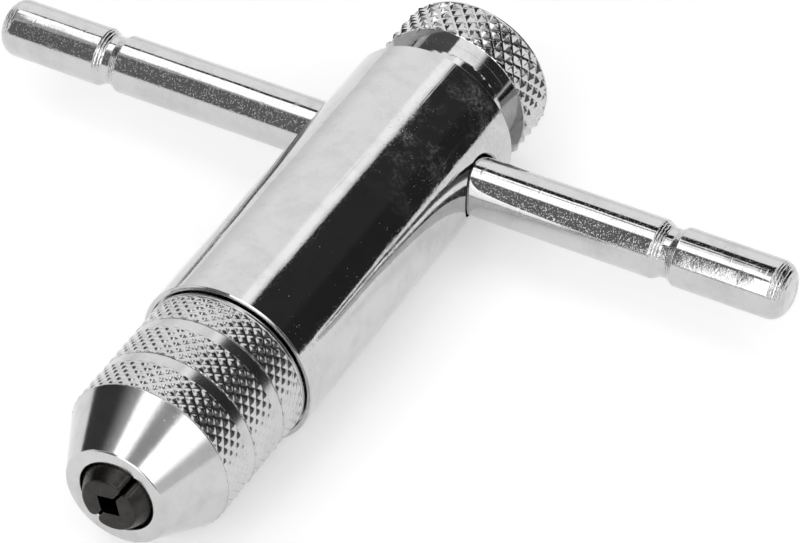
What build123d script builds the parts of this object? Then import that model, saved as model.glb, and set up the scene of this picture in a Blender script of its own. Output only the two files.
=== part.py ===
from build123d import *
import math
import os

# Ratchet tap wrench: a tubular body with a sliding T-bar, a two-jaw chuck at the
# front and a selector knob at the rear.
# Millimetres. +Y runs along the tool axis from the jaw tips to the knob, +X lies
# along the T-bar and +Z is up as the tool lies on a bench. The origin is on the
# tool axis at the front face of the closed jaws.

# ---- driving dimensions -------------------------------------------------------
BODY_R = 11.0                 # outside radius of the body tube
BODY_FRONT = 25.6             # Y of the body's front rim
BODY_REAR = 74.0              # Y of the body's rear rim
BODY_EDGE = 0.35              # chamfer on both outer rims
CAVITY_R = 9.7                # ratchet cavity in the front of the body
CAVITY_END = 43.4             # Y of the step at the back of the cavity
RIM_RECESS_R = 10.4           # shallow recess just inside the front rim
RIM_RECESS_DEPTH = 0.8

RUN = 0.08                    # radial clearance of a running fit
GAP = 0.2                     # clearance between parts that only pass each other

BAR_Y = 66.15                 # Y of the T-bar's axis
BAR_R = 3.625
BAR_LEFT = -54.5              # X of the bar's two tips, as the bar is stored
BAR_RIGHT = 51.2
BAR_END_ROUND = 2.1
BAR_GROOVE_INSET = 15.3       # detent groove's centre to the bar's tip
BAR_GROOVE_WIDTH = 3.0
BAR_GROOVE_DEPTH = 0.58
BAR_HOLE_CHAMFER = 0.2
BAR_HOLE_CLEAR = 0.275

STEM_R = 8.12                 # selector tube outside the bar, and the knob's neck
STEM_BORE_R = 6.2
STEM_SOLID_Y = 70.9           # the tube is solid behind this
HEAD_FRONT = 79.1             # Y of the knob head's front face
HEAD_REAR = 85.3
HEAD_R = 10.2
HEAD_FRONT_BEVEL = 0.4
HEAD_REAR_BEVEL = 0.75
SPIGOT_R = 6.0                # stem's spigot inside the knob head
SPIGOT_END = 83.0
SELECTOR_TURN = 40.0          # degrees from right-hand to left-hand drive

NOSE_FACE = 1.5               # Y of the nose sleeve's front face
NOSE_FACE_R = 6.5             # radius where the cone meets the front edge
NOSE_EDGE_ROUND = 0.5
MOUTH_ROUND = 0.35             # lip of the hole the jaws show in
CONE_END = 8.73               # Y and radius at the cone's large end
CONE_END_R = 10.1
SLEEVE_R = 10.3               # over the knurl
SLEEVE_REAR = 25.45
SLEEVE_LANDS = ((12.92, 14.42), (19.2, 20.72))   # plain lands between the knurled bands
LAND_R = 10.15
LAND_GROOVE_WIDTH = 0.18
LAND_GROOVE_DEPTH = 0.22
SLEEVE_REAR_CHAMFER = 0.2
THREAD_R = 8.38               # spindle thread, as a plain cylinder

JAW_SLOPE = math.tan(math.radians(28))   # closing cone
JAW_FACE_R = 3.4              # jaw front face
JAW_MAX_R = 6.0
JAW_CLEAR = 0.2               # radial clearance between jaw cone and nose cone
JAW_BLOCK_END = 9.0           # Y at the back of the jaws' round part
JAW_KEY_END = 15.0            # Y at the back of the jaws' keys
JAW_KEY_HALF = 3.5
JAW_KEY_REACH = 5.3
JAW_SPLIT = 0.1               # half of the gap between the closed jaws
JAW_CORNER_R = 0.7            # rounded corner between a jaw's split face and its cone
JAW_EDGE_R = 0.3              # rounded rim of a jaw's front face
SQUARE_MIN = 2.4              # tap square held with the jaws closed
SQUARE_MAX = 5.5              # and with the jaws open
CHUCK_ANGLE = -55.5           # how far the spindle is turned about +Y, degrees

WHEEL_Y0 = 31.6               # ratchet wheel
WHEEL_Y1 = 36.6
WHEEL_R = 6.0
WHEEL_ROOT_R = 5.3
WHEEL_TEETH = 20
SQUARE_STUB = 5.8             # drive square for the wheel

PAWL_Y0 = 31.9
PAWL_Y1 = 36.3
PAWL_PIVOT_R = 7.9            # pivot's distance from the tool axis
PAWL_PIVOT_ANGLE = 128.0      # degrees from +X towards +Z
PAWL_TIP_ANGLE = 84.0
PAWL_INNER_R = 6.13           # just clear of the wheel's crests
PAWL_OUTER_R = 8.2
PAWL_EYE_R = 1.6
PAWL_PIN_R = 0.9
PAWL_LIFT = 8.0               # degrees, over the whole of the selector's turn
PEG_R = 0.55
PEG_DISTANCE = 7.3            # peg's distance from the tool axis
PEG_ANGLE = 108.0

CARRIER_Y0 = 38.0             # plate that holds the pawl pins and the spindle's tail
CARRIER_Y1 = 40.6
CAM_Y0 = 41.0                 # cam plate on the front of the selector tube
CAM_Y1 = 43.2
CAM_SLOT_DEPTH = 1.8
TAIL_R = 2.85                 # spindle tail in the carrier
CIRCLIP_GROOVE_R = 2.4

BALL_R = 1.75                 # bar detent ball
BALL_BORE_R = 1.85
SMALL_BALL_R = 1.0            # selector detent ball
SMALL_BALL_Y = 72.3
SMALL_BALL_AT = 7.55          # distance of its centre from the tool axis
SCREW_FRONT = 78.0            # Y of the end screw's tip
SCREW_R = 3.0
SCREW_HEAD_R = 4.3
SCREW_HEAD_Y0 = 83.0
SCREW_HEAD_Y1 = 84.9

# ---- values worked out from them ----------------------------------------------
BORE_R = STEM_R + RUN                       # body bore behind the cavity
FLANGE_Y0 = 28.8
FLANGE_Y1 = 31.2
BAR_HOLE_R = BAR_R + BAR_HOLE_CLEAR
JAW_APEX = SQUARE_MIN / math.sqrt(2)        # tip of each jaw's V from the tool axis
NOSE_BORE_R = THREAD_R + 0.07
BALL_Y = BAR_Y + BAR_R + BALL_R + 0.02


# ---- small helpers ------------------------------------------------------------
def turned(*outline):
    """Solid of revolution about the tool axis; the outline is (y, radius) pairs."""
    points = [(radius, y) for y, radius in outline]
    return revolve(make_face(Polyline(*points, close=True)), Axis.Y)


def tube(y0, y1, outer, inner=0.0):
    """Plain ring or disc between two places on the tool axis."""
    return turned((y0, inner), (y0, outer), (y1, outer), (y1, inner))


def section_plane(y):
    """Plane across the tool axis: its x is +X and its y is +Z."""
    return Plane(origin=(0, y, 0), x_dir=(1, 0, 0), z_dir=(0, -1, 0))


def prism(sketch, y0, y1):
    """Extrude a cross-section drawn in X and Z from y0 to y1."""
    return extrude(section_plane(y1) * sketch, amount=y1 - y0)


def polar(radius, degrees):
    """Point in a cross-section."""
    angle = math.radians(degrees)
    return (radius * math.cos(angle), radius * math.sin(angle))


def about(point, centre, degrees):
    """Turn a cross-section point about a centre, as a turn about +Y moves it."""
    angle = math.radians(degrees)
    x, z = point[0] - centre[0], point[1] - centre[1]
    turned_x = x * math.cos(angle) + z * math.sin(angle)
    turned_z = z * math.cos(angle) - x * math.sin(angle)
    return (centre[0] + turned_x, centre[1] + turned_z)


def sector(radius, start, end, steps=8):
    """Filled sector of a circle, drawn a little outside the stated radius."""
    angles = [start + (end - start) * i / steps for i in range(steps + 1)]
    return make_face(Polyline((0, 0), *[polar(radius, a) for a in angles], close=True))


def rod(radius, start, end):
    """Cylinder between two points."""
    axis = Vector(*end) - Vector(*start)
    disc = Plane(origin=start, z_dir=axis) * Circle(radius)
    return extrude(disc, amount=axis.length)


def coil(start, direction, length, mean_r, wire_r, turns):
    """Compression spring of the stated overall length."""
    height = length - 2 * wire_r
    path = Helix(pitch=height / turns, height=height, radius=mean_r)
    wire = sweep(Plane(origin=path @ 0, z_dir=path % 0) * Circle(wire_r), path=path)
    place = Plane(origin=start, z_dir=direction)
    return place.location * Pos(0, 0, wire_r) * wire


def ring_edges(part, y, radius):
    """The part's circular edges of one radius at one place on the tool axis."""
    circles = part.edges().filter_by(GeomType.CIRCLE)
    return [e for e in circles
            if abs(e.radius - radius) < 0.01 and abs(e.arc_center.Y - y) < 0.01]


def turn_chuck(part):
    """Place a part drawn with its split line along X at the chuck's angle."""
    return Rot(0, CHUCK_ANGLE, 0) * part


# ---- body ---------------------------------------------------------------------
def body_sleeve():
    part = tube(BODY_FRONT, BODY_REAR, BODY_R)
    part -= tube(BODY_FRONT - 1, CAVITY_END, CAVITY_R)
    part -= tube(BODY_FRONT - 1, BODY_FRONT + RIM_RECESS_DEPTH, RIM_RECESS_R)
    part -= tube(CAVITY_END - 1, BODY_REAR + 1, BORE_R)
    part -= tube(27.2, 28.25, 10.2)                       # retaining ring groove
    part -= rod(BAR_HOLE_R, (-20, BAR_Y, 0), (20, BAR_Y, 0))
    for side in (-1, 1):                                  # eased edge of each bar hole
        face_x = side * math.sqrt(BODY_R ** 2 - BAR_HOLE_R ** 2)
        cone = Plane(origin=(face_x, BAR_Y, 0), z_dir=(side, 0, 0)).location
        height = BODY_R - abs(face_x) + BAR_HOLE_CHAMFER
        part -= cone * Pos(0, 0, height / 2 - BAR_HOLE_CHAMFER / 2) * Cone(
            BAR_HOLE_R, BAR_HOLE_R + BAR_HOLE_CHAMFER, height)
    part = chamfer(ring_edges(part, BODY_FRONT, BODY_R), BODY_EDGE)
    part = chamfer(ring_edges(part, BODY_REAR, BODY_R), BODY_EDGE)
    # shallow track and three dimples for the selector's detent ball
    track = tube(SMALL_BALL_Y - 1.1, SMALL_BALL_Y + 1.1, 8.72, 7.5)
    top = 90.0
    part -= track & prism(sector(12, top - SELECTOR_TURN - 8, top + 8), 70, 74)
    for position in (0, SELECTOR_TURN / 2, SELECTOR_TURN):
        x, z = polar(7.8, top - position)
        part -= Pos(x, SMALL_BALL_Y, z) * Sphere(SMALL_BALL_R + 0.1)
    return part


def retaining_ring():
    part = tube(27.25, 28.2, 10.12, 8.75)
    return part - prism(sector(14, -8, 8), 26, 30)


def thrust_washer():
    return tube(28.28, 28.74, 9.6, 8.75)


def pawl_pivot(lower):
    """Pivot centre; the lower pawl mirrors the upper one."""
    x, z = polar(PAWL_PIVOT_R, PAWL_PIVOT_ANGLE)
    return (x, -z) if lower else (x, z)


def pawl_carrier():
    part = tube(CARRIER_Y0, CARRIER_Y1, CAVITY_R - 0.02, TAIL_R + 0.06)
    for lower in (False, True):
        part -= prism(Pos(*pawl_pivot(lower)) * Circle(PAWL_PIN_R), 37, 41)
        part -= prism(Pos(*peg_point(lower, SELECTOR_TURN / 2)) * Circle(1.25), 37, 41)
    return part


def pawl_pin(lower):
    return prism(Pos(*pawl_pivot(lower)) * Circle(PAWL_PIN_R), 31.5, CARRIER_Y1)


def pawl_spring(lower):
    """Leaf that hugs the cavity wall and bears on the pawl's back."""
    leaf = tube(32.3, 35.9, 9.62, 9.38) & prism(sector(14, 74, 112), 32, 36.2)
    return mirror(leaf, about=Plane.XY) if lower else leaf


# ---- T-bar --------------------------------------------------------------------
def t_bar():
    length = BAR_RIGHT - BAR_LEFT
    bar = Cylinder(BAR_R, length)
    bar = fillet(bar.edges().filter_by(GeomType.CIRCLE), BAR_END_ROUND)
    half = BAR_GROOVE_WIDTH / 2
    floor = BAR_R - BAR_GROOVE_DEPTH
    for side in (-1, 1):
        z = side * (length / 2 - BAR_GROOVE_INSET)
        cut = make_face(Polyline(
            (BAR_R + 1, z - half), (BAR_R, z - half), (floor, z - half / 3),
            (floor, z + half / 3), (BAR_R, z + half), (BAR_R + 1, z + half), close=True))
        bar -= revolve(Plane.XZ * cut, Axis.Z)
    centre = (BAR_RIGHT + BAR_LEFT) / 2
    return Pos(centre, BAR_Y, 0) * Rot(0, 90, 0) * bar


# ---- selector -----------------------------------------------------------------
def peg_point(lower, selector_angle):
    """Where a pawl's peg stands when the selector is turned by an angle."""
    share = selector_angle / SELECTOR_TURN
    x, z = polar(PEG_DISTANCE, PEG_ANGLE)
    if lower:
        return about((x, -z), pawl_pivot(True), PAWL_LIFT * (1 - share))
    return about((x, z), pawl_pivot(False), -PAWL_LIFT * share)


def cam_slot(lower):
    """Track of a peg seen from the turning cam plate, opened to clear the peg."""
    angles = (-3, SELECTOR_TURN / 2, SELECTOR_TURN + 3)
    track = [about(peg_point(lower, a), (0, 0), -a) for a in angles]
    return SlotArc(ThreePointArc(*track), 2 * (PEG_R + GAP))


def selector_sleeve():
    part = turned(
        (CAM_Y0, 4.9), (CAM_Y0, CAVITY_R - RUN), (CAM_Y1, CAVITY_R - RUN), (CAM_Y1, STEM_R),
        (HEAD_FRONT, STEM_R), (HEAD_FRONT, SPIGOT_R), (SPIGOT_END, SPIGOT_R),
        (SPIGOT_END, 0), (STEM_SOLID_Y, 0), (STEM_SOLID_Y, STEM_BORE_R),
        (CAM_Y1, STEM_BORE_R), (CAM_Y1, 4.9))
    for lower in (False, True):
        part -= prism(cam_slot(lower), CAM_Y0 - 1, CAM_Y0 + CAM_SLOT_DEPTH)
    # a window on each side lets the tube turn round the T-bar
    half = math.degrees(math.asin(BAR_R / STEM_BORE_R)) + 2
    for side in (0, 180):
        window = sector(14, side - half, side + half + SELECTOR_TURN)
        part -= prism(window, BAR_Y - BAR_R - 1, STEM_SOLID_Y)
    part -= tube(STEM_SOLID_Y - 1, SCREW_FRONT, BALL_BORE_R)
    part -= tube(SCREW_FRONT, SPIGOT_END + 1, SCREW_R)
    part -= rod(SMALL_BALL_R + 0.05, (0, SMALL_BALL_Y, 3.2), (0, SMALL_BALL_Y, 9))
    return part


def knob():
    part = tube(HEAD_FRONT, HEAD_REAR, HEAD_R)
    part = chamfer(ring_edges(part, HEAD_FRONT, HEAD_R), HEAD_FRONT_BEVEL)
    part = chamfer(ring_edges(part, HEAD_REAR, HEAD_R), HEAD_REAR_BEVEL)
    part -= tube(HEAD_FRONT - 1, SPIGOT_END, SPIGOT_R)
    part -= tube(SPIGOT_END - 0.5, HEAD_REAR + 1, SCREW_HEAD_R + 0.1)
    return part


def end_screw():
    part = turned(
        (SCREW_FRONT, 0), (SCREW_FRONT, SCREW_R), (SCREW_HEAD_Y0, SCREW_R),
        (SCREW_HEAD_Y0, SCREW_HEAD_R), (SCREW_HEAD_Y1 - 0.3, SCREW_HEAD_R),
        (SCREW_HEAD_Y1, SCREW_HEAD_R - 0.3), (SCREW_HEAD_Y1, 0))
    slot = Pos(0, SCREW_HEAD_Y1 - 0.45, 0) * Box(10, 0.9, 1.0)
    return part - slot


def bar_detent_ball():
    return Pos(0, BALL_Y, 0) * Sphere(BALL_R)


def bar_detent_spring():
    start = BALL_Y + BALL_R + 0.03
    return coil((0, start, 0), (0, 1, 0), SCREW_FRONT - 0.03 - start, 1.35, 0.2, 5)


def selector_detent_ball():
    return Pos(0, SMALL_BALL_Y, SMALL_BALL_AT) * Sphere(SMALL_BALL_R)


def selector_detent_spring():
    start, end = 3.25, SMALL_BALL_AT - SMALL_BALL_R - 0.03
    return coil((0, SMALL_BALL_Y, start), (0, 0, 1), end - start, 0.72, 0.13, 5)


# ---- pawls --------------------------------------------------------------------
def pawl(lower):
    """Pawl with its peg; the upper one is down on the wheel, the lower one lifted."""
    arm = sector(PAWL_OUTER_R, PAWL_TIP_ANGLE, PAWL_PIVOT_ANGLE, 12) - Circle(PAWL_INNER_R)
    arm += Pos(*pawl_pivot(False)) * Circle(PAWL_EYE_R)
    arm -= Pos(*pawl_pivot(False)) * Circle(PAWL_PIN_R + 0.05)
    part = prism(arm, PAWL_Y0, PAWL_Y1)
    peg = Pos(*polar(PEG_DISTANCE, PEG_ANGLE)) * Circle(PEG_R)
    part += prism(peg, PAWL_Y1 - 0.5, CAM_Y0 + CAM_SLOT_DEPTH - GAP)
    if not lower:
        return part
    part = mirror(part, about=Plane.XY)
    x, z = pawl_pivot(True)
    return Pos(x, 0, z) * Rot(0, PAWL_LIFT, 0) * Pos(-x, 0, -z) * part


# ---- spindle and ratchet wheel ------------------------------------------------
def spindle():
    part = turned(
        (9.2, 0), (9.2, THREAD_R), (26.0, THREAD_R), (26.0, 8.2), (FLANGE_Y0, 8.2),
        (FLANGE_Y0, CAVITY_R - RUN), (FLANGE_Y1, CAVITY_R - RUN), (FLANGE_Y1, 4.6),
        (WHEEL_Y0, 4.6), (WHEEL_Y0, TAIL_R), (CARRIER_Y1 + 0.2, TAIL_R), (CARRIER_Y1 + 0.2, 0))
    part += prism(Rectangle(SQUARE_STUB, SQUARE_STUB), FLANGE_Y1, WHEEL_Y1)
    part -= tube(WHEEL_Y1 + 0.15, WHEEL_Y1 + 0.9, 5, CIRCLIP_GROOVE_R)
    slot = Rectangle(2 * JAW_KEY_HALF + 0.1, 40)
    part -= prism(slot, 9, JAW_KEY_END + GAP)
    part -= tube(9, 24, 3.4)                                    # room for a long tap square
    return turn_chuck(part)


def ratchet_wheel():
    pitch = 360 / WHEEL_TEETH
    outline = []
    for tooth in range(WHEEL_TEETH):
        middle = tooth * pitch
        outline += [polar(WHEEL_ROOT_R, middle - 0.38 * pitch), polar(WHEEL_R, middle - 0.14 * pitch),
                    polar(WHEEL_R, middle + 0.14 * pitch), polar(WHEEL_ROOT_R, middle + 0.38 * pitch)]
    wheel = make_face(Polyline(*outline, close=True))
    wheel -= Rectangle(SQUARE_STUB + 0.02, SQUARE_STUB + 0.02)
    return turn_chuck(prism(wheel, WHEEL_Y0, WHEEL_Y1))


def wheel_circlip():
    part = tube(WHEEL_Y1 + 0.18, WHEEL_Y1 + 0.87, 4.3, CIRCLIP_GROOVE_R + 0.02)
    return part - prism(sector(14, -25, 25), WHEEL_Y1, WHEEL_Y1 + 2)


# ---- chuck --------------------------------------------------------------------
def jaw_profile_end():
    """Y where the jaw's cone reaches its largest radius."""
    return (JAW_MAX_R - JAW_FACE_R) / JAW_SLOPE


def jaw(lower):
    """Half-round jaw with a V for the tap's square and a key in the spindle's slot."""
    part = turned((0, 0), (0, JAW_FACE_R), (jaw_profile_end(), JAW_MAX_R),
                  (JAW_BLOCK_END, JAW_MAX_R), (JAW_BLOCK_END, 0))
    part &= Pos(0, 5, 10 + JAW_SPLIT) * Box(20, 20, 20)
    middles = [(edge, edge.center()) for edge in part.edges()]
    part = fillet([edge for edge, at in middles if at.Y < JAW_BLOCK_END / 2
                   and abs(at.Z - JAW_SPLIT) < 0.01 and abs(at.X) > JAW_FACE_R - 0.1], JAW_CORNER_R)
    middles = [(edge, edge.center()) for edge in part.edges()]
    part = fillet([edge for edge, at in middles if abs(at.Y) < 0.01 and at.Z > JAW_SPLIT + 0.01],
                  JAW_EDGE_R)
    key_height = JAW_KEY_REACH - JAW_SPLIT
    key = Pos(0, JAW_SPLIT + key_height / 2) * Rectangle(2 * JAW_KEY_HALF, key_height)
    part += prism(key, JAW_BLOCK_END - 0.5, JAW_KEY_END)
    vee = Polyline((-JAW_APEX - 1, -1), (0, JAW_APEX), (JAW_APEX + 1, -1), close=True)
    part -= prism(make_face(vee), -1, JAW_KEY_END + 1)
    for side in (-1, 1):
        part -= rod(0.65, (side * 4.55, 6.7, -1), (side * 4.55, 6.7, 2.26))
    if lower:
        part = Rot(0, 180, 0) * part
    return turn_chuck(part)


def jaw_spring(side):
    spring = coil((side * 4.55, 6.7, -2.1), (0, 0, 1), 4.2, 0.42, 0.16, 6)
    return turn_chuck(spring)


def nose_sleeve():
    bore_start_r = JAW_FACE_R + JAW_SLOPE * NOSE_FACE + JAW_CLEAR
    bore_end = NOSE_FACE + (NOSE_BORE_R - bore_start_r) / JAW_SLOPE
    front_r = NOSE_FACE_R - NOSE_EDGE_ROUND * (CONE_END_R - NOSE_FACE_R) / (CONE_END - NOSE_FACE)
    part = turned(
        (NOSE_FACE, bore_start_r), (NOSE_FACE, front_r), (CONE_END, CONE_END_R),
        (CONE_END, SLEEVE_R), (SLEEVE_REAR - SLEEVE_REAR_CHAMFER, SLEEVE_R),
        (SLEEVE_REAR, SLEEVE_R - SLEEVE_REAR_CHAMFER), (SLEEVE_REAR, NOSE_BORE_R),
        (bore_end, NOSE_BORE_R))
    part = fillet(ring_edges(part, NOSE_FACE, front_r), NOSE_EDGE_ROUND)
    part = fillet(ring_edges(part, NOSE_FACE, bore_start_r), MOUTH_ROUND)
    for start, end in SLEEVE_LANDS:
        part -= tube(start, end, SLEEVE_R + 1, LAND_R)
        part -= tube(end, end + LAND_GROOVE_WIDTH, SLEEVE_R + 1, LAND_R - LAND_GROOVE_DEPTH)
    part -= tube(22.6, 24.2, 9.5)                               # groove for the friction ring
    return part


def friction_ring():
    ring = make_face(CenterArc((8.95, 23.4), 0.4, 0, 360))
    return revolve(ring, Axis.Y)


# ---- write one file for each piece --------------------------------------------
PIECES = {
    "body_sleeve": body_sleeve(),
    "retaining_ring": retaining_ring(),
    "thrust_washer": thrust_washer(),
    "pawl_carrier": pawl_carrier(),
    "pawl_pin_upper": pawl_pin(False),
    "pawl_pin_lower": pawl_pin(True),
    "pawl_spring_upper": pawl_spring(False),
    "pawl_spring_lower": pawl_spring(True),
    "t_bar": t_bar(),
    "selector_sleeve": selector_sleeve(),
    "selector_knob": knob(),
    "end_screw": end_screw(),
    "bar_detent_ball": bar_detent_ball(),
    "bar_detent_spring": bar_detent_spring(),
    "selector_detent_ball": selector_detent_ball(),
    "selector_detent_spring": selector_detent_spring(),
    "pawl_upper": pawl(False),
    "pawl_lower": pawl(True),
    "spindle": spindle(),
    "ratchet_wheel": ratchet_wheel(),
    "wheel_circlip": wheel_circlip(),
    "jaw_upper": jaw(False),
    "jaw_lower": jaw(True),
    "jaw_spring_upper": jaw_spring(1),
    "jaw_spring_lower": jaw_spring(-1),
    "nose_sleeve": nose_sleeve(),
    "friction_ring": friction_ring(),
}

os.makedirs("parts", exist_ok=True)
for name, piece in PIECES.items():
    export_step(piece, f"parts/{name}.step")
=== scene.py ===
"""Ratchet tap wrench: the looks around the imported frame.

Blender works in metres; the sizes below are in millimetres and are scaled by MM. +Y runs
along the tool axis from the jaws to the knob, +X along the T-bar, +Z up.
"""

import math

import bmesh
import bpy
import numpy as np
from mathutils import Matrix, Vector


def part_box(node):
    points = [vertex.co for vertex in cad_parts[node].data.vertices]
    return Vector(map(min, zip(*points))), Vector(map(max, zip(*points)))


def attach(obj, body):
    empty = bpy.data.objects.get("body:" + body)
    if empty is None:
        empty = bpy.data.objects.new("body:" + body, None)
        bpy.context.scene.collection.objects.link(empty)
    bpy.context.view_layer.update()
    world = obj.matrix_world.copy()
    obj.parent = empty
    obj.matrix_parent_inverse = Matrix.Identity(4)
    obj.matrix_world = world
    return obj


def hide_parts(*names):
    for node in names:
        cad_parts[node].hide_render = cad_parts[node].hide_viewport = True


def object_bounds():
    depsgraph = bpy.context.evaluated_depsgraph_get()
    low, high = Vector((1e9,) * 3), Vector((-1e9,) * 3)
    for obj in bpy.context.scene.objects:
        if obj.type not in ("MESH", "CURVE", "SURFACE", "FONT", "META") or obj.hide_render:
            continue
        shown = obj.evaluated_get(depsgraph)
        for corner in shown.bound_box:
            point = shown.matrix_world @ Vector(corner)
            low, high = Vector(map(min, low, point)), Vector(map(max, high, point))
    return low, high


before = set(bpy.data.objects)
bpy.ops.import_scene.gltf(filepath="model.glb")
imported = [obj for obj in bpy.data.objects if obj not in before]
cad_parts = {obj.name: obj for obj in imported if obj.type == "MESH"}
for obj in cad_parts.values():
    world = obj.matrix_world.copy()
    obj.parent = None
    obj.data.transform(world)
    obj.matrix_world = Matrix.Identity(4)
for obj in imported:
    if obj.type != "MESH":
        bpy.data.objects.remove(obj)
cad_low, cad_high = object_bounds()

MM = 0.001
FLOOR_Z = cad_low.z

CAMERA_ANGLES = (29.46, 41.85, -1.0)    # azimuth, elevation and roll, in degrees
CAMERA_AIM = (11.6, 45.2, 3.5)
CAMERA_DISTANCE = 535
CAMERA_LENS = 210.85

# ---- sizes of the detailed pieces, in millimetres -------------------------------
SLEEVE_CREST_R = 10.3            # over the fine knurl
SLEEVE_LAND_R = 10.15
SLEEVE_BANDS = ((8.73, 12.92), (14.6, 19.2), (20.9, 24.8))
SLEEVE_LIP_R = 10.28             # behind the last band
SLEEVE_REAR = 25.45
CONE_START = 1.5
CONE_FRONT_R = 6.4
CONE_END = 8.7
CONE_END_R = 10.1
FRICTION_GROOVE = (22.6, 24.2, 9.5)     # start, end and radius, as in the grooves below
THREAD_BORE_R = 8.45
MOUTH_R = 4.4
CLOSING_SLOPE = math.tan(math.radians(28))
FINE_KNURL = dict(crest=SLEEVE_CREST_R, depth=0.165, families=((40, 0.71), (-40, 0.71)),
                  flat_valley=0.0, flat_crest=1.0, pillow=0.6)

BODY_R = 11.0
BODY_FRONT = 25.6
BODY_REAR = 74.0
REAR_EDGE = 0.3
FRONT_EDGE = 0.14
CAVITY_R = 9.7
CAVITY_END = 43.4
RIM_RECESS_R = 10.4
RIM_RECESS_END = 26.4
RING_GROOVE = (27.2, 28.25, 10.2)
BALL_TRACK = (71.2, 73.4, 8.72)
BORE_R = 8.2
BAR_HOLE_R = 3.9
BAR_HOLE_EDGE = 0.2
OUTER_PATCH = 6.1                # half lengths of the finely meshed patches round a bar hole
BORE_PATCH = 4.9
SMEAR_PLACES = (46, 62, 72.5)    # along the body: first finger marks, all of them, last ones

HEAD_FRONT = 79.1
HEAD_REAR = 85.3
HEAD_R = 10.2
KNURL_END = HEAD_REAR - 0.75
NECK_R = 8.14
NECK_START = 73.45
NECK_SKIN = 0.1
SPIGOT_R = 6.0
SPIGOT_BORE_R = 5.4
SPIGOT_END = 83.0
SCREW_BORE_R = 4.4
SCREW_SEAT = 82.6
COARSE_KNURL = dict(crest=HEAD_R, depth=0.35, families=((28, 0.59), (-35, 0.47)),
                    flat_valley=0.09, flat_crest=0.94, pillow=0.0)

BAR_R = 3.625
BAR_TIP_ROUND = 2.1
BAR_GROOVE_INSET = 15.3
BAR_GROOVE_DEPTH = 0.58
BAR_RING_PITCH = 0.32            # turning marks on the bar's tips and grooves
STEEL_RING_PITCH = 0.18          # and on the pieces inside


# ---- mesh helpers ----------------------------------------------------------------
def arc(centre, radius, start, end, steps):
    """Points of a circular arc in a (along, radius) outline; angles in degrees."""
    angles = np.radians(np.linspace(start, end, steps + 1))
    return [(centre[0] + radius * math.cos(a), centre[1] + radius * math.sin(a)) for a in angles]


def eased(points, radius, steps=4, margin=0.06):
    """Round the inner corners of an open outline, with a support point beside each round."""
    out = [points[0]]
    for before, corner, after in zip(points, points[1:], points[2:]):
        here = Vector(corner)
        back, ahead = Vector(before) - here, Vector(after) - here
        room = 0.4 * min(back.length, ahead.length)
        turn = back.angle(ahead)
        cut = min(radius / math.tan(turn / 2), room)
        start, end = here + back.normalized() * cut, here + ahead.normalized() * cut
        step = min(margin, room / 2)
        out.append(tuple(start + back.normalized() * step))
        for i in range(steps + 1):
            t = i / steps
            out.append(tuple(start * (1 - t) ** 2 + here * 2 * t * (1 - t) + end * t ** 2))
        out.append(tuple(end + ahead.normalized() * step))
    out.append(points[-1])
    return out


def spun(name, along, radii, closed, axis="Y"):
    """Mesh of revolution; radii is one row per place along the axis, one column per segment."""
    rows, count = radii.shape
    turn = np.linspace(0, 2 * math.pi, count, endpoint=False)
    across, up = radii * np.cos(turn), radii * np.sin(turn)
    lengths = np.repeat(np.asarray(along)[:, None], count, 1)
    if axis == "Y":
        points = np.stack([across, lengths, up], -1)
    else:
        points = np.stack([lengths, -across, up], -1)
    vertices = (points.reshape(-1, 3) * MM).tolist()
    index = np.arange(rows * count).reshape(rows, count)
    faces = []
    row_pairs = [(i, (i + 1) % rows) for i in range(rows if closed else rows - 1)]
    for first, second in row_pairs:
        a, b = index[first], index[second]
        quads = np.stack([a, np.roll(a, -1), np.roll(b, -1), b], -1)
        faces += quads.tolist()
    if not closed:
        faces.append(index[0][::-1].tolist())
        faces.append(index[-1].tolist())
    mesh = bpy.data.meshes.new(name)
    mesh.from_pydata(vertices, [], faces)
    mesh.validate()
    piece = bpy.data.objects.new(name, mesh)
    bpy.context.scene.collection.objects.link(piece)
    return piece


def face_outward(piece):
    """Point every face of a closed mesh outward."""
    shell = bmesh.new()
    shell.from_mesh(piece.data)
    bmesh.ops.recalc_face_normals(shell, faces=shell.faces)
    shell.to_mesh(piece.data)
    shell.free()


def shade(piece, crease):
    """Smooth shading that keeps edges sharper than crease degrees."""
    piece.data.shade_smooth()
    piece.data.set_sharp_from_angle(angle=math.radians(crease))


# ---- knurling --------------------------------------------------------------------
def knurl_height(turn, y, families, flat_valley, flat_crest, pillow):
    """Height from 0 to 1 of crossed grooves; a family is (starts round, lines per mm).

    The cells are pyramids, or rounded pillows with the same outline.
    """
    sharp = np.full(np.broadcast(turn, y).shape, 0.5)
    soft = np.ones(sharp.shape)
    for starts, lines in families:
        phase = starts * turn / (2 * math.pi) + lines * y
        away = np.abs(phase - np.round(phase))
        sharp = np.minimum(sharp, away)
        soft = soft * 4 * away * (1 - away)
    height = (1 - pillow) * sharp * 2 + pillow * soft
    share = (height - flat_valley) / (flat_crest - flat_valley)
    return np.clip(share, 0, 1)


def knurled_rows(start, end, step, count, crest, depth, **cells):
    """Rows of a knurled band: places along the axis and a row of radii for each."""
    rows = max(2, int(round((end - start) / step)))
    along = np.linspace(start, end, rows + 1)
    turn = np.linspace(0, 2 * math.pi, count, endpoint=False)
    height = knurl_height(turn[None], along[:, None], **cells)
    return list(along), list(crest - depth * (1 - height))


def plain_rows(points, count):
    """The same two lists for a plain turned outline."""
    return [p[0] for p in points], [np.full(count, p[1]) for p in points]


def stack_rows(*parts):
    """Places and radii of several parts, one after another, as arrays."""
    along, radii = [], []
    for places, rows in parts:
        along += places
        radii += rows
    return np.array(along), np.array(radii)


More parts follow.
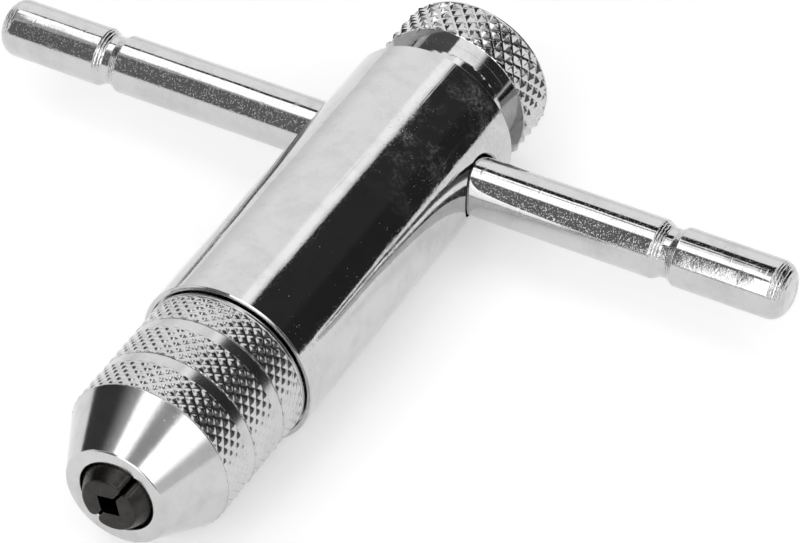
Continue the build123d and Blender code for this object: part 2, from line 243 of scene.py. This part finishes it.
# ---- pieces ----------------------------------------------------------------------
def nose_sleeve():
    """Nose cone and three fine diamond-knurled bands between plain lands."""
    count = 480
    cone = [(CONE_START + 1.6, MOUTH_R + 1.6 * CLOSING_SLOPE), (CONE_START, MOUTH_R),
            (CONE_START, CONE_FRONT_R), (SLEEVE_BANDS[0][0] - 0.1, CONE_END_R),
            (SLEEVE_BANDS[0][0], CONE_END_R)]
    parts = [plain_rows(eased(cone, 0.4, steps=8), count)]
    for number, (start, end) in enumerate(SLEEVE_BANDS, 1):
        parts.append(knurled_rows(start + 0.02, end - 0.02, 0.117, count, **FINE_KNURL))
        if number < len(SLEEVE_BANDS):
            stop = SLEEVE_BANDS[number][0]
            land = eased([(end, SLEEVE_LAND_R - 0.12), (end + 0.03, SLEEVE_LAND_R),
                          (stop - 0.2, SLEEVE_LAND_R), (stop - 0.14, SLEEVE_LAND_R - 0.2),
                          (stop - 0.1, SLEEVE_LAND_R - 0.2),
                          (stop + 0.01, SLEEVE_LAND_R + 0.02)], 0.02, steps=2, margin=0.03)
            parts.append(plain_rows(land, count))
    band_end = SLEEVE_BANDS[-1][1]
    groove_start, groove_end, groove_r = FRICTION_GROOVE
    rear = eased([(band_end, SLEEVE_LIP_R - 0.16), (band_end + 0.05, SLEEVE_LIP_R),
                  (SLEEVE_REAR - 0.15, SLEEVE_LIP_R), (SLEEVE_REAR, SLEEVE_LIP_R - 0.18),
                  (SLEEVE_REAR, THREAD_BORE_R), (groove_end, THREAD_BORE_R),
                  (groove_end, groove_r), (groove_start, groove_r),
                  (groove_start, THREAD_BORE_R),
                  (CONE_START + (THREAD_BORE_R - MOUTH_R) / CLOSING_SLOPE, THREAD_BORE_R),
                  (CONE_START + 2, MOUTH_R + 2 * CLOSING_SLOPE)], 0.08, steps=3)
    parts.append(plain_rows(rear, count))
    along, radii = stack_rows(*parts)
    piece = spun("nose_sleeve_knurled", along, radii, closed=True)
    face_outward(piece)
    shade(piece, 50)
    return piece


def selector_knob():
    """Knob head with a coarse, sharp diamond knurl."""
    count = 768
    front = [(HEAD_FRONT, SPIGOT_R), (HEAD_FRONT, 9.0), (HEAD_FRONT, 9.75),
             (HEAD_FRONT + 0.06, 9.85)]
    rear = eased([(KNURL_END, 9.78), (KNURL_END + 0.05, 10.0), (KNURL_END + 0.3, 9.98),
                  (HEAD_REAR, 9.4), (HEAD_REAR, SCREW_BORE_R), (SCREW_SEAT, SCREW_BORE_R),
                  (SCREW_SEAT, SPIGOT_BORE_R), (SPIGOT_END, SPIGOT_BORE_R),
                  (SPIGOT_END, SPIGOT_R)], 0.12)
    band = knurled_rows(HEAD_FRONT + 0.09, KNURL_END, 0.083, count, **COARSE_KNURL)
    along, radii = stack_rows(plain_rows(front, count), band, plain_rows(rear, count))
    piece = spun("selector_knob_knurled", along, radii, closed=True)
    face_outward(piece)
    shade(piece, 24)
    return piece


def bridged(rings):
    """Quads between neighbouring closed rings of vertex numbers."""
    faces = []
    for inner, outer in zip(rings, rings[1:]):
        for a, b, c, d in zip(inner, inner[1:] + inner[:1], outer[1:] + outer[:1], outer):
            faces.append((a, b, c, d))
    return faces


def gap_rim(start, middle, rows, reach, count):
    """Numbers of the vertices round the gap left for a bar hole in a tube wall."""
    columns = [(middle + i) % count for i in range(-reach, reach + 1)]
    up = range(start, start + rows + 1)
    rim = [start * count + c for c in columns]
    rim += [r * count + columns[-1] for r in up[1:]]
    rim += [up[-1] * count + c for c in reversed(columns[:-1])]
    rim += [r * count + columns[0] for r in reversed(up[1:-1])]
    return rim


def hole_patch(points, rim, centre_y, radius, hole_r, side, layers=9):
    """Faces between a round bar hole and the rim of the gap left for it in a tube wall.

    points is the growing list of vertices and rim the numbers of those round the gap; gives
    the faces and the numbers of the vertices round the hole.
    """
    rings = []
    for layer in range(layers):
        share = (layer / layers) ** 1.5
        ring = []
        for number in rim:
            y, z = points[number][1] - centre_y, points[number][2]
            scale = share + (1 - share) * hole_r / math.hypot(y, z)
            z *= scale
            ring.append(len(points))
            points.append((side * math.sqrt(radius ** 2 - z ** 2), centre_y + y * scale, z))
        rings.append(ring)
    rings.append(list(rim))
    return bridged(rings), rings[0]


def hole_wall(points, outside, inside, centre_y, side):
    """Faces of a bar hole's wall and eased edge, between its outer and inner vertices."""
    shift = min(range(len(inside)), key=lambda i: math.dist(
        points[inside[i]][1:], points[outside[0]][1:]))
    inside = inside[shift:] + inside[:shift]
    step = []
    for number in outside:
        y, z = points[number][1] - centre_y, points[number][2]
        scale = BAR_HOLE_R / math.hypot(y, z)
        z *= scale
        depth = math.sqrt(BODY_R ** 2 - z ** 2) - BAR_HOLE_EDGE
        step.append(len(points))
        points.append((side * depth, centre_y + y * scale, z))
    return bridged([outside, step, inside])


def body_outline(centre_y, patch_rows):
    """Closed outline of the tube, and where its walls round the bar holes start, outer first."""
    outer_y = np.linspace(centre_y + OUTER_PATCH, centre_y - OUTER_PATCH, patch_rows + 1)
    bore_y = np.linspace(centre_y - BORE_PATCH, centre_y + BORE_PATCH, patch_rows + 1)
    rear = eased([(BODY_REAR - 0.5, BORE_R), (BODY_REAR, BORE_R), (BODY_REAR, BODY_R - REAR_EDGE),
                  (BODY_REAR - REAR_EDGE, BODY_R), (BODY_REAR - 1, BODY_R)], 0.07, margin=0.03)
    front = eased([(BODY_FRONT + 1, BODY_R), (BODY_FRONT + FRONT_EDGE, BODY_R),
                   (BODY_FRONT, BODY_R - FRONT_EDGE), (BODY_FRONT, RIM_RECESS_R),
                   (RIM_RECESS_END, RIM_RECESS_R), (RIM_RECESS_END, CAVITY_R),
                   (RING_GROOVE[0], CAVITY_R), (RING_GROOVE[0], RING_GROOVE[2]),
                   (RING_GROOVE[1], RING_GROOVE[2]), (RING_GROOVE[1], CAVITY_R),
                   (CAVITY_END, CAVITY_R), (CAVITY_END, BORE_R), (CAVITY_END + 1, BORE_R)],
                  0.05, margin=0.03)
    track = [(BALL_TRACK[0], BORE_R), (BALL_TRACK[0], BALL_TRACK[2]),
             (BALL_TRACK[1], BALL_TRACK[2]), (BALL_TRACK[1], BORE_R)]
    outer = [(y, BODY_R) for y in outer_y]
    bore = [(y, BORE_R) for y in bore_y]
    outline = rear + outer + front + bore + track
    return outline, len(rear), len(rear) + len(outer) + len(front)


def body_sleeve():
    """Polished tube, open at both ends, with an eased hole for the bar on each side.

    The plain outer faces get exact normals, so that no reflection wavers round the holes.
    """
    count = 256
    reach, patch_rows = 26, 20      # half width and length of a patch, in faces
    centre_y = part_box("t_bar")[0].y / MM + BAR_R
    outline, first_outer, first_bore = body_outline(centre_y, patch_rows)
    turn = np.linspace(0, 2 * math.pi, count, endpoint=False)
    points = [(r * math.cos(a), y, r * math.sin(a)) for y, r in outline for a in turn]
    rows = len(outline)
    faces, polished, gaps = [], set(), set()
    for start in (first_outer, first_bore):
        for middle in (0, count // 2):
            for row in range(start, start + patch_rows):
                for column in range(middle - reach, middle + reach):
                    gaps.add((row, column % count))
    for row in range(rows):
        below = (row + 1) % rows
        smooth = outline[row][1] == BODY_R == outline[below][1]
        for column in range(count):
            if (row, column) in gaps:
                continue
            if smooth:
                polished.add(len(faces))
            right = (column + 1) % count
            faces.append((row * count + column, row * count + right,
                          below * count + right, below * count + column))
    for middle, side in ((0, 1), (count // 2, -1)):
        rim = gap_rim(first_outer, middle, patch_rows, reach, count)
        patch, outside = hole_patch(points, rim, centre_y, BODY_R,
                                    BAR_HOLE_R + BAR_HOLE_EDGE, side)
        polished.update(range(len(faces), len(faces) + len(patch)))
        faces += patch
        rim = gap_rim(first_bore, middle, patch_rows, reach, count)
        rim = rim[:1] + rim[:0:-1]
        patch, inside = hole_patch(points, rim, centre_y, BORE_R, BAR_HOLE_R, side)
        faces += patch
        faces += hole_wall(points, outside, inside, centre_y, side)
    used = np.zeros(len(points), bool)
    used[np.unique(np.array(faces))] = True
    renumber = np.cumsum(used) - 1
    vertices = np.array(points)[used] * MM
    mesh = bpy.data.meshes.new("body_sleeve_polished")
    mesh.from_pydata(vertices.tolist(), [], renumber[np.array(faces)].tolist())
    piece = bpy.data.objects.new("body_sleeve_polished", mesh)
    bpy.context.scene.collection.objects.link(piece)
    face_outward(piece)
    shade(piece, 30)
    normals = []
    for polygon in mesh.polygons:
        for number in polygon.vertices:
            x, y, z = mesh.vertices[number].co
            keep = polygon.index in polished
            normals.append(Vector((x, 0, z)).normalized() if keep else Vector())
    mesh.normals_split_custom_set(normals)
    return piece


def neck_shell():
    """Polished skin of the selector's neck, between the body and the knob."""
    count = 256
    outline = eased([(NECK_START, NECK_R - NECK_SKIN), (NECK_START, NECK_R),
                     (HEAD_FRONT, NECK_R), (HEAD_FRONT, NECK_R - NECK_SKIN)], 0.02)
    along, radii = stack_rows(plain_rows(outline, count))
    piece = spun("selector_neck_polished", along, radii, closed=True)
    face_outward(piece)
    shade(piece, 30)
    return piece


def t_bar():
    """Sliding bar with domed tips and a turned detent groove near each end."""
    count = 128
    low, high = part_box("t_bar")
    left, right = low.x / MM, high.x / MM
    tip = [(0.0, 0.001), (0.0, 0.9), (0.12, 1.5)]
    tip += arc((BAR_TIP_ROUND, BAR_R - BAR_TIP_ROUND), BAR_TIP_ROUND, 172, 90, 14)
    groove_floor = BAR_R - BAR_GROOVE_DEPTH
    centre = BAR_GROOVE_INSET
    neck = eased([(4.0, BAR_R), (centre - 1.45, BAR_R), (centre - 0.55, groove_floor),
                  (centre + 0.45, groove_floor), (centre + 1.5, BAR_R), (centre + 6, BAR_R)],
                 0.3, steps=5)
    half = tip + neck
    outline = [(left + a, r) for a, r in half] + [(right - a, r) for a, r in reversed(half)]
    along, radii = stack_rows(plain_rows(outline, count))
    piece = spun("t_bar_turned", along, radii, closed=False, axis="X")
    piece.data.transform(Matrix.Translation((0, (low.y + high.y) / 2, 0)))
    face_outward(piece)
    shade(piece, 35)
    return piece


# ---- materials -------------------------------------------------------------------
class Tree:
    """Short forms for building a node tree."""

    def __init__(self, tree):
        self.nodes, self.links = tree.nodes, tree.links
        self.nodes.clear()

    def add(self, kind, **settings):
        node = self.nodes.new(kind)
        for key, value in settings.items():
            setattr(node, key, value)
        return node

    def put(self, socket, value):
        if isinstance(value, bpy.types.NodeSocket):
            self.links.new(value, socket)
        else:
            socket.default_value = value

    def maths(self, operation, *values):
        node = self.add("ShaderNodeMath", operation=operation)
        for socket, value in zip(node.inputs, values):
            self.put(socket, value)
        return node.outputs[0]

    def split(self, vector):
        node = self.add("ShaderNodeSeparateXYZ")
        self.put(node.inputs[0], vector)
        return node.outputs

    def tint(self, factor, first, second):
        """Colour between first and second."""
        node = self.add("ShaderNodeMix", data_type="RGBA")
        self.put(node.inputs["Factor"], factor)
        node.inputs[6].default_value = (*first, 1)
        node.inputs[7].default_value = (*second, 1)
        return node.outputs[2]

    def ramp(self, value, low, high, to_low=0.0, to_high=1.0):
        """Smooth step of value from low to high."""
        node = self.add("ShaderNodeMapRange", interpolation_type="SMOOTHSTEP")
        for key, v in (("Value", value), ("From Min", low), ("From Max", high),
                       ("To Min", to_low), ("To Max", to_high)):
            self.put(node.inputs[key], v)
        return node.outputs["Result"]

    def noise(self, coords, scale, detail=2.0, roughness=0.5, stretch=None):
        """Noise texture; stretch is a scale for each axis and a turn in degrees."""
        if stretch is not None:
            mapping = self.add("ShaderNodeMapping")
            self.put(mapping.inputs["Vector"], coords)
            mapping.inputs["Scale"].default_value = stretch[0]
            mapping.inputs["Rotation"].default_value = [math.radians(a) for a in stretch[1]]
            coords = mapping.outputs[0]
        node = self.add("ShaderNodeTexNoise")
        self.put(node.inputs["Vector"], coords)
        node.inputs["Scale"].default_value = scale
        node.inputs["Detail"].default_value = detail
        node.inputs["Roughness"].default_value = roughness
        return node.outputs["Fac"]

    def bump(self, height, distance, normal=None):
        node = self.add("ShaderNodeBump")
        self.put(node.inputs["Height"], height)
        node.inputs["Strength"].default_value = 1.0
        node.inputs["Distance"].default_value = distance
        if normal is not None:
            self.put(node.inputs["Normal"], normal)
        return node.outputs["Normal"]


def surface(name, metallic, colour):
    """New material with a principled shader; returns it, its tree, shader and coordinates."""
    material = bpy.data.materials.new(name)
    material.use_nodes = True
    tree = Tree(material.node_tree)
    shader = tree.add("ShaderNodeBsdfPrincipled")
    output = tree.add("ShaderNodeOutputMaterial")
    tree.links.new(shader.outputs[0], output.inputs["Surface"])
    shader.inputs["Metallic"].default_value = metallic
    shader.inputs["Base Color"].default_value = (*colour, 1)
    coords = tree.add("ShaderNodeTexCoord").outputs["Object"]
    return material, tree, shader, coords


def scratch_lines(tree, coords, scale, stretch, turn, low, high):
    """Sparse thin lines: the narrow crests of a stretched noise."""
    lines = tree.noise(coords, scale, detail=1.0, stretch=(stretch, turn))
    return tree.ramp(lines, low, high)


def turned_ends(tree, coords, normal):
    """Fine turning rings on the faces of the bar that are not parallel to its axis."""
    facing = tree.split(tree.add("ShaderNodeTexCoord").outputs["Normal"])
    slanted = tree.ramp(tree.maths("ABSOLUTE", facing[0]), 0.08, 0.25)
    wobble = tree.noise(coords, 2200, detail=2.0)
    phase = tree.maths("MULTIPLY", tree.split(coords)[0], 2 * math.pi / (BAR_RING_PITCH * MM))
    rings = tree.maths("SINE", tree.maths("MULTIPLY_ADD", wobble, 5, phase))
    return tree.bump(tree.maths("MULTIPLY", rings, slanted), 0.000022, normal=normal)


def finger_smears(tree, coords, y):
    """Mask of the matte film that fingers leave on the body, beside the bar."""
    start, full, end = (place * MM for place in SMEAR_PLACES)
    blots = tree.ramp(tree.noise(coords, 210, detail=6.0, roughness=0.75), 0.46, 0.68)
    grit = tree.ramp(tree.noise(coords, 2300, detail=3.0, roughness=0.7), 0.35, 0.65)
    rear = tree.ramp(y, end, end + MM, 1, 0)
    beside = tree.maths("MULTIPLY", tree.ramp(y, start, full), rear)
    return tree.maths("MULTIPLY", tree.maths("MULTIPLY", blots, grit), beside)


def chrome(name, wave=1.0, mottle=1.0, haze=1.0, pits=0.0, scratches=1.0, rough=0.03,
           ends=False, dull=0.0, smears=0.0):
    """Bright nickel-chrome plate over turned steel, with faint handling marks.

    wave and mottle are the strengths of the plate's broad and fine unevenness, haze of smudges
    and dust, pits and scratches of those. rough is the roughness of clean plate and dull what
    is added to it behind the nose cone. ends adds the turning rings of the bar, and smears is
    the strength of the finger marks on the body.
    """
    material, tree, shader, coords = surface(name, 1.0, (0.565, 0.57, 0.575))
    film = tree.ramp(tree.noise(coords, 260, detail=6.0, roughness=0.7), 0.40, 0.72)
    tree.put(shader.inputs["Base Color"],
             tree.tint(film, (0.580, 0.580, 0.578), (0.505, 0.505, 0.508)))
    lines = scratch_lines(tree, coords, 900, (1, 0.05, 1), (8, 0, 14), 0.70, 0.76)
    crossed = scratch_lines(tree, coords, 700, (1, 0.04, 1), (20, 10, 62), 0.71, 0.76)
    marks = tree.maths("MAXIMUM", lines, crossed)
    patches = tree.ramp(tree.noise(coords, 150, detail=5.0, roughness=0.7), 0.48, 0.66)
    grain = tree.ramp(tree.noise(coords, 1100, detail=4.0, roughness=0.7), 0.4, 0.7)
    smudge = tree.maths("MULTIPLY", patches, grain)
    dust = tree.noise(coords, 3900, detail=1.5)
    spots = tree.ramp(tree.maths("MULTIPLY_ADD", patches, 0.08, dust), 0.76, 0.81)
    roughness = tree.maths("MULTIPLY_ADD", smudge, 0.05 * haze, rough)
    roughness = tree.maths("MULTIPLY_ADD", spots, 0.30 * haze, roughness)
    roughness = tree.maths("MULTIPLY_ADD", marks, 0.12 * scratches, roughness)
    y = tree.split(coords)[1]
    if smears:
        smear = finger_smears(tree, coords, y)
        tree.put(shader.inputs["Metallic"], tree.maths("MULTIPLY_ADD", smear, -smears, 1.0))
    if dull:
        behind = tree.ramp(y, CONE_END * MM, (CONE_END + 0.1) * MM)
        roughness = tree.maths("MULTIPLY_ADD", behind, dull, roughness)
    tree.put(shader.inputs["Roughness"], roughness)
    normal = tree.bump(tree.noise(coords, 180, detail=1.0), 0.00004 * wave)
    fine = tree.noise(coords, 2600, detail=3.0, roughness=0.6)
    normal = tree.bump(fine, 0.0000012 * mottle, normal=normal)
    normal = tree.bump(smudge, 0.000002 * haze, normal=normal)
    specks = tree.ramp(tree.noise(coords, 5400, detail=2.0), 0.60, 0.70)
    normal = tree.bump(specks, -0.00001 * pits, normal=normal)
    normal = tree.bump(marks, -0.000004 * scratches, normal=normal)
    if ends:
        normal = turned_ends(tree, coords, normal)
    tree.put(shader.inputs["Normal"], normal)
    return material


def turned_steel(name, colour, rough):
    """Plain turned or ground steel with faint tool rings round the tool axis."""
    material, tree, shader, coords = surface(name, 1.0, colour)
    x, y, z = tree.split(coords)
    squares = tree.maths("ADD", tree.maths("MULTIPLY", x, x), tree.maths("MULTIPLY", z, z))
    place = tree.maths("ADD", tree.maths("SQRT", squares), y)
    phase = tree.maths("MULTIPLY", place, 2 * math.pi / (STEEL_RING_PITCH * MM))
    rings = tree.maths("SINE", phase)
    grain = tree.noise(coords, 3000, detail=3.0)
    tree.put(shader.inputs["Roughness"], tree.ramp(grain, 0.3, 0.7, rough * 0.8, rough * 1.3))
    normal = tree.bump(rings, 0.0000015)
    normal = tree.bump(grain, 0.000004, normal=normal)
    tree.put(shader.inputs["Normal"], normal)
    return material


def black_oxide(name):
    """Oil-blackened steel of the jaws: warm, nearly black, with a fine ground grain."""
    material, tree, shader, coords = surface(name, 1.0, (0.043, 0.040, 0.036))
    grain = tree.noise(coords, 5200, detail=4.0, roughness=0.7)
    cloud = tree.ramp(tree.noise(coords, 900, detail=3.0), 0.35, 0.7)
    tree.put(shader.inputs["Base Color"],
             tree.tint(cloud, (0.034, 0.033, 0.031), (0.046, 0.044, 0.041)))
    tree.put(shader.inputs["Roughness"], tree.ramp(grain, 0.3, 0.7, 0.24, 0.34))
    tree.put(shader.inputs["Normal"], tree.bump(grain, 0.000006))
    return material


def rubber(name):
    """Matt black rubber of the friction ring."""
    material, tree, shader, coords = surface(name, 0.0, (0.018, 0.018, 0.019))
    grain = tree.noise(coords, 4200, detail=3.0)
    tree.put(shader.inputs["Roughness"], tree.ramp(grain, 0.3, 0.7, 0.55, 0.75))
    tree.put(shader.inputs["Normal"], tree.bump(grain, 0.00002))
    return material


def floor_material():
    """White paper that glows a little, so that it stays pale under the tool."""
    material, tree, shader, coords = surface("floor_paper", 0.0, (0.86, 0.86, 0.86))
    grain = tree.noise(coords, 900, detail=3.0)
    tree.put(shader.inputs["Normal"], tree.bump(grain, 0.00001))
    shader.inputs["Roughness"].default_value = 0.9
    shader.inputs["Specular IOR Level"].default_value = 0.0
    shader.inputs["Emission Color"].default_value = (1, 1, 1, 1)
    shader.inputs["Emission Strength"].default_value = 0.34
    return material


# ---- studio ----------------------------------------------------------------------
# Each card is (pole, turn, half width, edge, low, low edge, high, high edge, radiance), in
# degrees. Round the pole Z, turn is the azimuth from +Y towards +X and low and high are
# elevations. Round the pole X, turn goes from -Y over the top and low and high lean to +X.
# A tenth value slants the low edge: its rise per degree of turn.
ROOM = (0.90, 1.17)              # radiance between the cards, at the horizon and above 25 degrees
CARDS = (
    ("Z", -83, 19, 3, 0, 1.5, 70, 3, 0.05),         # dark panel on the left
    ("Z", -92, 28, 3, 27, 3, 70, 3, 0.05),          # its upper part
    ("Z", -116, 52, 8, 50, 14, 85, 3, 0.50),        # wall that brightens towards the ceiling
    ("Z", -150, 22, 5, 4.5, 1.5, 61, 2.5, 0.17),    # grey front left corner
    ("Z", 35.4, 26.6, 1.5, -1, 1, 62, 4, 0.024),    # black flag at the back right
    ("Z", 27, 19, 4, 26, 3, 62, 4, 0.036),          # its upper part
    ("Z", -118, 44, 3, 62.3, 1.7, 72, 2, 2.1),      # overhead softbox
    ("Z", -63, 14, 3, 55, 1.5, 67.7, 1.2, 2.1),     # its back corner
    ("Z", -150, 24, 3, 62, 2, 78, 3, 2.1),          # its front corner
    ("Z", -33, 20.5, 2, 53, 1.2, 74, 2, 0.03),      # gap behind it
    ("Z", -38, 36, 4, 69.8, 1.3, 80, 2, 0.05),      # and above it
    ("Z", 144, 29, 6, 58, 1.5, 75.5, 3, 0.40),      # camera side, above the lens
    ("Z", 80, 18, 3, 1, 2, 52, 6, 0.12),            # dark side of the room on the right
    ("Z", 112, 18, 5, 0, 1.5, 57, 2, 0.75),         # grey foot of the tall softbox
    ("Z", 116, 13.5, 3, 22, 6, 57, 1.5, 2.2),       # tall softbox on the right
    ("Z", 140, 10, 2, 0, 1.5, 42, 3, 0.05),         # dark camera side
    ("X", 32.5, 25.5, 1.5, -17.85, 0.2, 20, 3, 2.3, 0.0225),    # slanted card beside the lens
    ("Z", -3, 6, 3, 40, 3, 58, 4, 1.45),            # bright edge of the back panel
)


def build_world():
    """Studio light: a pale room with the cards laid over it in turn."""
    world = bpy.data.worlds.new("studio")
    bpy.context.scene.world = world
    world.use_nodes = True
    tree = Tree(world.node_tree)
    direction = tree.add("ShaderNodeTexCoord").outputs["Generated"]
    x, y, z = tree.split(direction)
    angles = {
        "Z": (tree.maths("DEGREES", tree.maths("ARCTAN2", x, y)),
              tree.maths("DEGREES", tree.maths("ARCSINE", z))),
        "X": (tree.maths("DEGREES", tree.maths("ARCTAN2", z, tree.maths("MULTIPLY", y, -1))),
              tree.maths("DEGREES", tree.maths("ARCSINE", x)))}
    light = tree.ramp(angles["Z"][1], 0, 25, *ROOM)
    for pole, centre, half, edge, low, low_edge, high, high_edge, radiance, *slant in CARDS:
        turn, lean = angles[pole]
        away = tree.maths("SUBTRACT", turn, centre)
        away = tree.maths("ABSOLUTE", tree.maths("WRAP", away, 180, -180))
        inside = tree.ramp(away, half - edge, half + edge, 1, 0)
        level = lean
        if slant:
            rise = tree.maths("MULTIPLY", tree.maths("SUBTRACT", turn, centre), slant[0])
            level = tree.maths("SUBTRACT", lean, rise)
        above = tree.ramp(level, low - low_edge, low + low_edge)
        below = tree.ramp(lean, high - high_edge, high + high_edge, 1, 0)
        mask = tree.maths("MULTIPLY", tree.maths("MULTIPLY", inside, above), below)
        mix = tree.add("ShaderNodeMix", data_type="FLOAT")
        tree.put(mix.inputs[0], mask)
        tree.put(mix.inputs[2], light)
        mix.inputs[3].default_value = radiance
        light = mix.outputs[0]
    background = tree.add("ShaderNodeBackground")
    tree.put(background.inputs["Strength"], light)
    background.inputs["Color"].default_value = (1, 1, 1, 1)
    output = tree.add("ShaderNodeOutputWorld")
    tree.links.new(background.outputs[0], output.inputs["Surface"])


def build_floor():
    half = 2.0
    corners = [(-half, -half), (half, -half), (half, half), (-half, half)]
    mesh = bpy.data.meshes.new("floor")
    mesh.from_pydata([(x, y, FLOOR_Z) for x, y in corners], [], [(0, 1, 2, 3)])
    floor = bpy.data.objects.new("floor", mesh)
    bpy.context.scene.collection.objects.link(floor)
    mesh.materials.append(floor_material())


def build_camera():
    """Long lens, looking down on the tool from its front right."""
    azimuth, elevation, roll = (math.radians(a) for a in CAMERA_ANGLES)
    back = Vector((math.sin(azimuth) * math.cos(elevation),
                   -math.cos(azimuth) * math.cos(elevation), math.sin(elevation)))
    data = bpy.data.cameras.new("camera")
    data.sensor_width = 36
    data.lens = CAMERA_LENS
    camera = bpy.data.objects.new("camera", data)
    bpy.context.scene.collection.objects.link(camera)
    camera.rotation_mode = "QUATERNION"
    level = (-back).to_track_quat("-Z", "Y")
    camera.rotation_quaternion = level @ Matrix.Rotation(roll, 3, "Z").to_quaternion()
    camera.location = (Vector(CAMERA_AIM) + back * CAMERA_DISTANCE) * MM
    bpy.context.scene.camera = camera
    bpy.context.scene.view_settings.view_transform = "Standard"


# ---- put it together -------------------------------------------------------------
build_camera()
build_world()
build_floor()

CHROMES = {
    "body_chrome": dict(mottle=3.0, haze=2.0, pits=0.12, smears=0.22),
    "bar_chrome": dict(mottle=2.2, haze=0.6, pits=0.42, scratches=1.2, rough=0.05, ends=True),
    "knurl_chrome": dict(wave=0.0, mottle=3.0, scratches=0.0, rough=0.14, dull=0.05),
    "knob_chrome": dict(wave=0.0, scratches=0.0, rough=0.07),
}
STEELS = {
    "steel": ((0.50, 0.50, 0.50), 0.22),
    "spring_steel": ((0.36, 0.36, 0.37), 0.28),
    "brass": ((0.78, 0.58, 0.26), 0.24),
}
MATERIALS = {name: chrome(name, **looks) for name, looks in CHROMES.items()}
MATERIALS.update((name, turned_steel(name, *looks)) for name, looks in STEELS.items())
MATERIALS["black_oxide"] = black_oxide("black_oxide")
MATERIALS["rubber"] = rubber("rubber")

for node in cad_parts.values():
    slot_name = node.data.materials[0].name.split(".")[0]
    node.data.materials.clear()
    node.data.materials.append(MATERIALS.get(slot_name, MATERIALS["steel"]))

for piece, node_name, body, slot_name, material_name in (
        (body_sleeve(), "body_sleeve", "body", "body_chrome", "body_chrome"),
        (nose_sleeve(), "nose_sleeve", "nose", "knurl_chrome", "knurl_chrome"),
        (selector_knob(), "selector_knob", "selector", "knurl_chrome", "knob_chrome"),
        (t_bar(), "t_bar", "bar", "bar_chrome", "bar_chrome")):
    piece.data.materials.append(MATERIALS[material_name])
    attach(piece, body)
    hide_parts(node_name)

collar = neck_shell()
collar.data.materials.append(MATERIALS["body_chrome"])
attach(collar, "selector")
